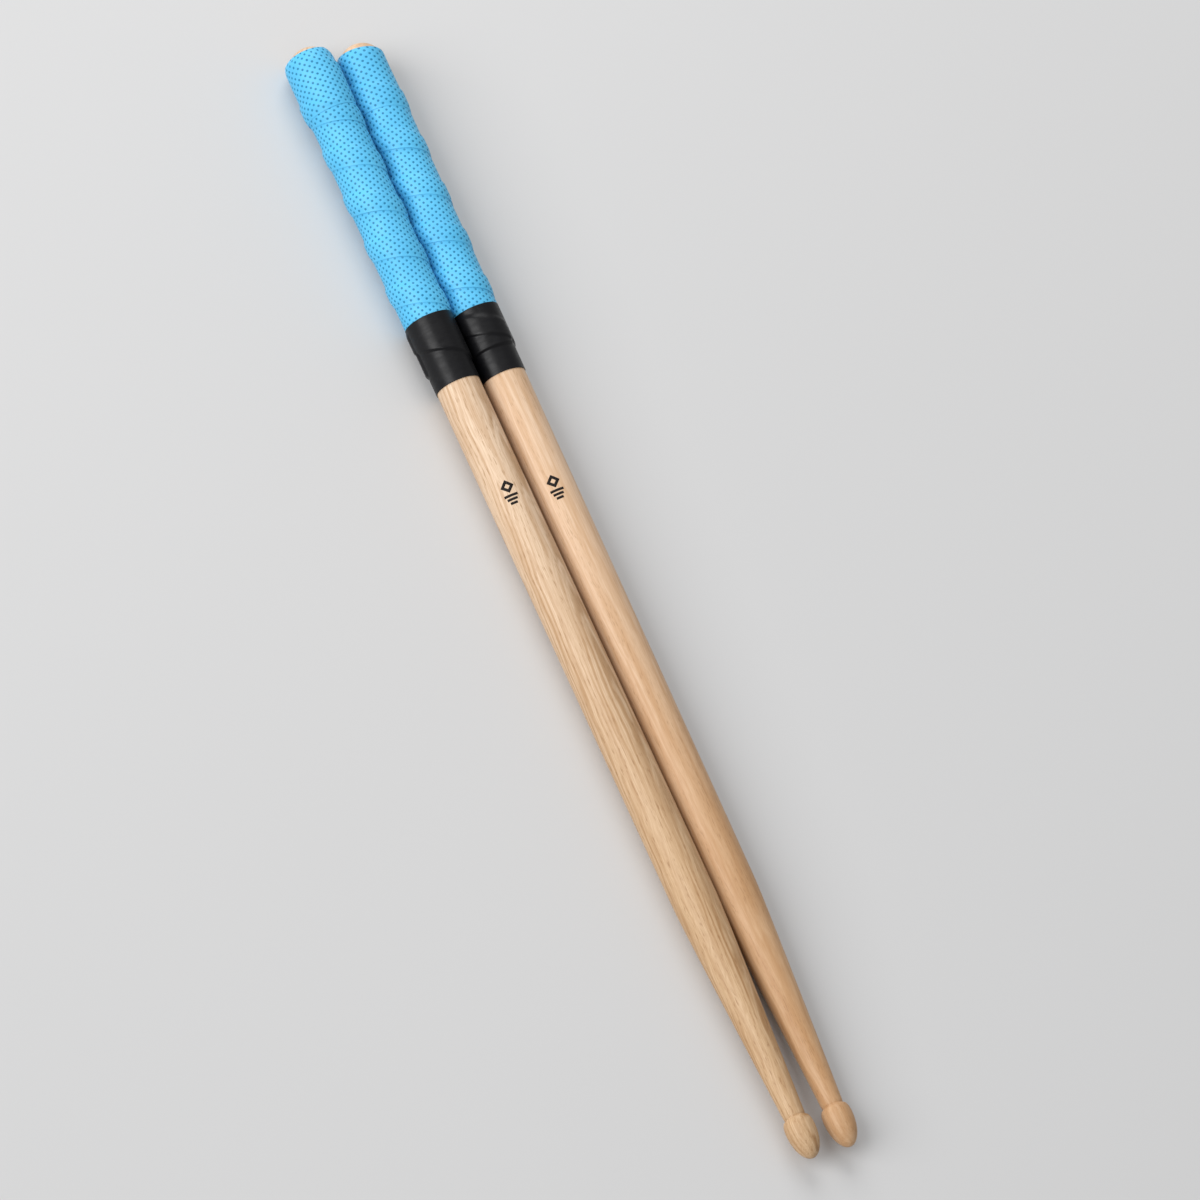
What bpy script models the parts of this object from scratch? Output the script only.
"""A pair of wood-tipped drumsticks with wrapped grips, lying side by side.

Frame: +Z up, origin on the floor under the middle of the pair. The sticks run along Y, butts at
+Y and tips at -Y, and the left stick is at -X. Each stick is built in a frame of its own, with
the middle of its butt at the origin, its tip at negative Z and its own +Y side facing the floor.
An empty then lays it down.
"""
import math

import bmesh
import bpy
import numpy as np
from mathutils import Matrix

MM = 0.001

# The turned stick: a 5A, 16 in long and 14.7 mm thick. The right one came out shorter.
LEFT_LENGTH = 405.7 * MM
RIGHT_LENGTH = 402.9 * MM
SHAFT_RADIUS = 7.35 * MM
BUTT_DOME = 6.8 * MM
BUTT_FLAT_RADIUS = 2.2 * MM
TAPER_LENGTH = 79.3 * MM
TAPER_EASE = 0.1
NECK_RADIUS = 3.55 * MM
NECK_FROM_TIP = 14.2 * MM
BEAD_RADIUS = 4.95 * MM
BEAD_WIDEST_FROM_TIP = 10.0 * MM
NOSE_FLAT_RADIUS = 0.9 * MM

# The grip wrap: a strip wound in a spiral, each turn lapping over the next one tipward.
WRAP_GAP = 0.3 * MM
WRAP_THICKNESS = 0.42 * MM
WRAP_PITCH = 17.25 * MM
WRAP_LAP = 6.7 * MM
WRAP_RAMP = 1.2 * MM
WRAP_EDGE = 0.3 * MM
WRAP_RIM = 4.8 * MM
WRAP_CLEAR_OF_TAPE = 3.5 * MM

# The finishing tape: its upper part lies over the wrap's end, its lower part on bare wood.
TAPE_WIDTH = 24.0 * MM
TAPE_WALL = 0.22 * MM
TAPE_GAP = 0.1 * MM
TAPE_STEP = 1.4 * MM

# The adhesive tab that holds the end of the wrap to the wood, under the tape.
TAB_GAP = 0.1 * MM
TAB_THICKNESS = 0.1 * MM
TAB_WIDTH = 20.0 * MM
TAB_SIDES = 12

# How the pair lies: nearly touching at the grips and at the shoulders.
GRIPS_APART = 17.35 * MM
SHOULDERS_APART = 15.05 * MM
GRIP_STATION = 60.0 * MM

SIDES = 32
DOME_RINGS = 5
TAPER_RINGS = 7
BEAD_RINGS = 6
MERGE_DISTANCE = 0.01 * MM
SMOOTH_ANGLE = math.radians(35.0)

# lap_edge is where the exposed edge of a turn stands, down the stick, at lap_angle. under_tape is
# how far the wrap runs on under the tape.
STICKS = (
    {"side": "left", "sign": -1.0, "length": LEFT_LENGTH, "tape_start": 102.1 * MM,
     "under_tape": 17.0 * MM, "lap_edge": 41.7 * MM, "lap_angle": math.radians(149.5)},
    {"side": "right", "sign": 1.0, "length": RIGHT_LENGTH, "tape_start": 100.5 * MM,
     "under_tape": 15.1 * MM, "lap_edge": 45.4 * MM, "lap_angle": math.radians(329.5)},
)

# Base colour and roughness of each finish.
FINISHES = {
    "pale_wood": ((0.76, 0.58, 0.40), 0.55),
    "warm_wood": ((0.68, 0.46, 0.27), 0.5),
    "blue_wrap": ((0.09, 0.55, 0.90), 0.6),
    "black_tape": ((0.012, 0.012, 0.014), 0.42),
    "tab_film": ((0.85, 0.84, 0.80), 0.5),
}
WOODS = {"left": "pale_wood", "right": "warm_wood"}


def clear_scene():
    for thing in list(bpy.data.objects):
        bpy.data.objects.remove(thing, do_unlink=True)


def make_material(name):
    colour, roughness = FINISHES[name]
    material = bpy.data.materials.new(name)
    material.use_nodes = True
    shader = material.node_tree.nodes["Principled BSDF"]
    shader.inputs["Base Color"].default_value = (*colour, 1.0)
    shader.inputs["Roughness"].default_value = roughness
    shader.inputs["Metallic"].default_value = 0.0
    return material


def add_object(name, builder, material, parent):
    """Turn a bmesh into a smooth-shaded object that hangs from the stick's empty."""
    bmesh.ops.remove_doubles(builder, verts=builder.verts, dist=MERGE_DISTANCE)
    bmesh.ops.dissolve_degenerate(builder, edges=builder.edges, dist=MERGE_DISTANCE)
    bmesh.ops.recalc_face_normals(builder, faces=builder.faces)
    mesh = bpy.data.meshes.new(name)
    builder.to_mesh(mesh)
    builder.free()
    mesh.materials.append(material)
    mesh.shade_smooth()
    mesh.set_sharp_from_angle(angle=SMOOTH_ANGLE)
    thing = bpy.data.objects.new(name, mesh)
    bpy.context.scene.collection.objects.link(thing)
    thing.parent = parent
    return thing


def spin_outline(outline, closed, angle=math.tau, steps=SIDES):
    """Spin an outline of (radius, distance down the stick) about the stick's axis."""
    builder = bmesh.new()
    points = [builder.verts.new((radius, 0.0, -down)) for radius, down in outline]
    edges = [builder.edges.new(pair) for pair in zip(points, points[1:])]
    if closed:
        edges.append(builder.edges.new((points[-1], points[0])))
    bmesh.ops.spin(builder, geom=points + edges, cent=(0.0, 0.0, 0.0), axis=(0.0, 0.0, 1.0),
                   angle=angle, steps=steps)
    return builder


# ---- the turned stick --------------------------------------------------------------------

def dome_points():
    """Butt dome from the rim of its flat to the shaft: most of a quarter ellipse."""
    first = math.asin(BUTT_FLAT_RADIUS / SHAFT_RADIUS)
    angles = [first + (math.pi / 2.0 - first) * ring / DOME_RINGS for ring in range(DOME_RINGS + 1)]
    flat_depth = BUTT_DOME * (1.0 - math.cos(first))
    return [(SHAFT_RADIUS * math.sin(angle), BUTT_DOME * (1.0 - math.cos(angle)) - flat_depth)
            for angle in angles]


def taper_radius(along):
    """Radius on the taper, from 0 at the shoulder to 1 at the neck: straight after a soft start."""
    eased = along * along / (along + TAPER_EASE) * (1.0 + TAPER_EASE)
    return SHAFT_RADIUS + (NECK_RADIUS - SHAFT_RADIUS) * eased


def bead_points(length):
    """Tip bead: a quarter ellipse up from the neck, and another down to the nose's small flat."""
    widest = length - BEAD_WIDEST_FROM_TIP
    rise = NECK_FROM_TIP - BEAD_WIDEST_FROM_TIP
    points = []
    for ring in range(1, BEAD_RINGS):
        angle = math.pi / 2.0 * ring / BEAD_RINGS
        radius = NECK_RADIUS + (BEAD_RADIUS - NECK_RADIUS) * math.sin(angle)
        points.append((radius, widest - rise * math.cos(angle)))
    for ring in range(BEAD_RINGS + 1):
        angle = math.pi / 2.0 * ring / BEAD_RINGS
        radius = max(BEAD_RADIUS * math.cos(angle), NOSE_FLAT_RADIUS)
        points.append((radius, widest + BEAD_WIDEST_FROM_TIP * math.sin(angle)))
    return points


def shoulder_station(spec):
    return spec["length"] - NECK_FROM_TIP - TAPER_LENGTH


def build_stick(spec, parent):
    shoulder = shoulder_station(spec)
    outline = [(0.0, 0.0)] + dome_points()
    for ring in range(TAPER_RINGS + 1):
        along = ring / TAPER_RINGS
        outline.append((taper_radius(along), shoulder + TAPER_LENGTH * along))
    outline += bead_points(spec["length"]) + [(0.0, spec["length"])]
    builder = spin_outline(outline, closed=False)
    material = make_material(WOODS[spec["side"]])
    return add_object(spec["side"] + "_stick", builder, material, parent)


# ---- the grip wrap -----------------------------------------------------------------------

def dome_lengths(corners):
    """Distance over the dome from the rim of the flat to each of its corners."""
    lengths = [0.0]
    for before, after in zip(corners, corners[1:]):
        lengths.append(lengths[-1] + math.dist(before, after))
    return lengths


def over_wood(distance, height):
    """(radius, distance down) of a point at a height above the wood's side.

    The distance runs over the butt dome from the rim of its flat, and then down the shaft.
    """
    corners = dome_points()
    lengths = dome_lengths(corners)
    if distance >= lengths[-1]:
        return SHAFT_RADIUS + height, corners[-1][1] + distance - lengths[-1]
    place = []
    for axis in range(2):
        place.append(float(np.interp(distance, lengths, [corner[axis] for corner in corners])))
    # The dome is an ellipse, so its outward direction follows from the place on it.
    lean = place[0] / SHAFT_RADIUS ** 2
    rise = (corners[-1][1] - place[1]) / BUTT_DOME ** 2
    size = math.hypot(lean, rise)
    return place[0] + height * lean / size, place[1] - height * rise / size


def lap_layers(spec, distance, angle):
    """Layers of strip at a place: 2 on a lap, 1 between laps and under the tape."""
    past = (distance - spec["lap_edge"] - WRAP_PITCH * (angle - spec["lap_angle"]) / math.tau)
    past %= WRAP_PITCH
    single = WRAP_PITCH - WRAP_LAP
    stations = (0.0, WRAP_EDGE, single - WRAP_RAMP, single, WRAP_PITCH)
    layers = float(np.interp(past, stations, (2.0, 1.0, 1.0, 2.0, 2.0)))
    clear_of_tape = (spec["tape_start"] - WRAP_CLEAR_OF_TAPE - distance) / WRAP_RAMP
    return 1.0 + (layers - 1.0) * min(max(clear_of_tape, 0.0), 1.0)


def lap_rows():
    """Where the rows of one turn stand, past the exposed edge of the turn before it."""
    single = WRAP_PITCH - WRAP_LAP
    ramp = single - WRAP_RAMP
    return (0.0, WRAP_EDGE, ramp * 0.35, ramp * 0.7, ramp, single, single + WRAP_LAP * 0.5)


def wrap_column(spec, angle, end):
    """Distances of the outer rows down one side of the grip, kept between its two ends."""
    start = spec["lap_edge"] + WRAP_PITCH * (angle - spec["lap_angle"]) / math.tau
    first_turn = -math.ceil(spec["lap_edge"] / WRAP_PITCH) - 1
    last_turn = math.ceil(end / WRAP_PITCH) + 1
    rows = [start + WRAP_PITCH * turn + past
            for turn in range(first_turn, last_turn) for past in lap_rows()]
    return [min(max(distance, WRAP_RIM), end) for distance in rows]


def add_point(builder, angle, distance, height):
    radius, down = over_wood(distance, height)
    return builder.verts.new((radius * math.cos(angle), radius * math.sin(angle), -down))


def build_wrap(spec, parent):
    """The wound strip: a sleeve over the butt dome and the shaft, with spiral laps outside."""
    lengths = dome_lengths(dome_points())
    along_shaft = lengths[-1] - dome_points()[-1][1]
    laid = dict(spec, lap_edge=spec["lap_edge"] + along_shaft,
                tape_start=spec["tape_start"] + along_shaft)
    end = laid["tape_start"] + spec["under_tape"]
    inner_stations = [WRAP_RIM] + [at for at in lengths if at > WRAP_RIM + WRAP_EDGE] + [end]
    builder = bmesh.new()
    outer = []
    inner = []
    for side in range(SIDES):
        angle = math.tau * side / SIDES
        column = []
        for distance in wrap_column(laid, angle, end):
            height = WRAP_GAP + WRAP_THICKNESS * lap_layers(laid, distance, angle)
            column.append(add_point(builder, angle, distance, height))
        outer.append(column)
        inner.append([add_point(builder, angle, distance, WRAP_GAP)
                      for distance in inner_stations])
    # One trip round the stick carries a row on by one turn.
    outer.append(outer[0][len(lap_rows()):])
    inner.append(inner[0])
    for side in range(SIDES):
        here, there = outer[side], outer[side + 1]
        below, beyond = inner[side], inner[side + 1]
        for row in range(len(there) - 1):
            builder.faces.new((here[row], here[row + 1], there[row + 1], there[row]))
        for row in range(len(below) - 1):
            builder.faces.new((below[row], beyond[row], beyond[row + 1], below[row + 1]))
        builder.faces.new((here[0], there[0], beyond[0], below[0]))
        builder.faces.new((here[-1], below[-1], beyond[-1], there[-1]))
    return add_object(spec["side"] + "_grip_wrap", builder, make_material("blue_wrap"), parent)


# ---- the tape and the tab ----------------------------------------------------------------

def build_tape(spec, parent):
    """Black tape: a thin ring that steps down from the wrap's end to bare wood."""
    start = spec["tape_start"]
    end = start + TAPE_WIDTH
    step = start + spec["under_tape"] + TAPE_GAP
    over_wrap = SHAFT_RADIUS + WRAP_GAP + WRAP_THICKNESS + TAPE_GAP
    over_bare_wood = SHAFT_RADIUS + TAPE_GAP
    outline = [
        (over_wrap, start),
        (over_wrap + TAPE_WALL, start),
        (over_wrap + TAPE_WALL, step + TAPE_WALL),
        (over_bare_wood + TAPE_WALL, step + TAPE_STEP + TAPE_WALL),
        (over_bare_wood + TAPE_WALL, end),
        (over_bare_wood, end),
        (over_bare_wood, step + TAPE_STEP),
        (over_wrap, step),
    ]
    builder = spin_outline(outline, closed=True)
    material = make_material("black_tape")
    return add_object(spec["side"] + "_finishing_tape", builder, material, parent)


def build_tab(spec, parent):
    """Adhesive tab: a thin curved patch between the wood and the end of the wrap."""
    end = spec["tape_start"] + spec["under_tape"] - MM
    inside = SHAFT_RADIUS + TAB_GAP
    outside = inside + TAB_THICKNESS
    outline = [(inside, end - TAB_WIDTH), (outside, end - TAB_WIDTH), (outside, end), (inside, end)]
    builder = spin_outline(outline, closed=True, angle=math.tau * TAB_SIDES / SIDES,
                           steps=TAB_SIDES)
    open_edges = [edge for edge in builder.edges if len(edge.link_faces) == 1]
    bmesh.ops.holes_fill(builder, edges=open_edges, sides=4)
    return add_object(spec["side"] + "_start_tab", builder, make_material("tab_film"), parent)


# ---- laying the sticks down --------------------------------------------------------------

def corner_array(things):
    """All mesh points of a stick's pieces, in the stick's own frame."""
    blocks = []
    for thing in things:
        flat = np.empty(len(thing.data.vertices) * 3)
        thing.data.vertices.foreach_get("co", flat)
        blocks.append(flat.reshape(-1, 3))
    return np.concatenate(blocks)


def lying_turn(spec, points):
    """Rotation that lays a stick on the floor, on its grip and on its shoulder, toed in.

    The floor line runs from the shoulder's lowest point and just touches the grip's.
    """
    shoulder = shoulder_station(spec)
    grip = points[-points[:, 2] < spec["tape_start"] + TAPE_WIDTH]
    lean = np.max((grip[:, 1] - SHAFT_RADIUS) / (shoulder + grip[:, 2]))
    toe = math.atan((GRIPS_APART - SHOULDERS_APART) / 2.0 / (shoulder - GRIP_STATION))
    onto_back = Matrix.Rotation(math.atan(lean) - math.pi / 2.0, 4, "X")
    return Matrix.Rotation(-spec["sign"] * toe, 4, "Z") @ onto_back, toe


def lay_down(stands):
    """Place the empties: tips level, grips just apart, the pair centred over the origin."""
    placed = {}
    for spec, empty, points in stands:
        rotation, toe = lying_turn(spec, points)
        turned = points @ np.array(rotation.to_3x3()).T
        half_gap = GRIPS_APART / 2.0 + GRIP_STATION * math.tan(toe)
        shift = np.array((spec["sign"] * half_gap, -turned[:, 1].min(), -turned[:, 2].min()))
        placed[spec["side"]] = (empty, rotation, shift, turned + shift)
    everything = np.concatenate([entry[3] for entry in placed.values()])
    centre = (everything.min(axis=0) + everything.max(axis=0)) / 2.0
    centre[2] = 0.0
    for empty, rotation, shift, _ in placed.values():
        empty.matrix_world = Matrix.Translation(shift - centre) @ rotation


def build_pair():
    stands = []
    for spec in STICKS:
        empty = bpy.data.objects.new(spec["side"] + "_axis", None)
        bpy.context.scene.collection.objects.link(empty)
        pieces = [build(spec, empty) for build in (build_stick, build_wrap, build_tape, build_tab)]
        stands.append((spec, empty, corner_array(pieces)))
    lay_down(stands)


clear_scene()
build_pair()
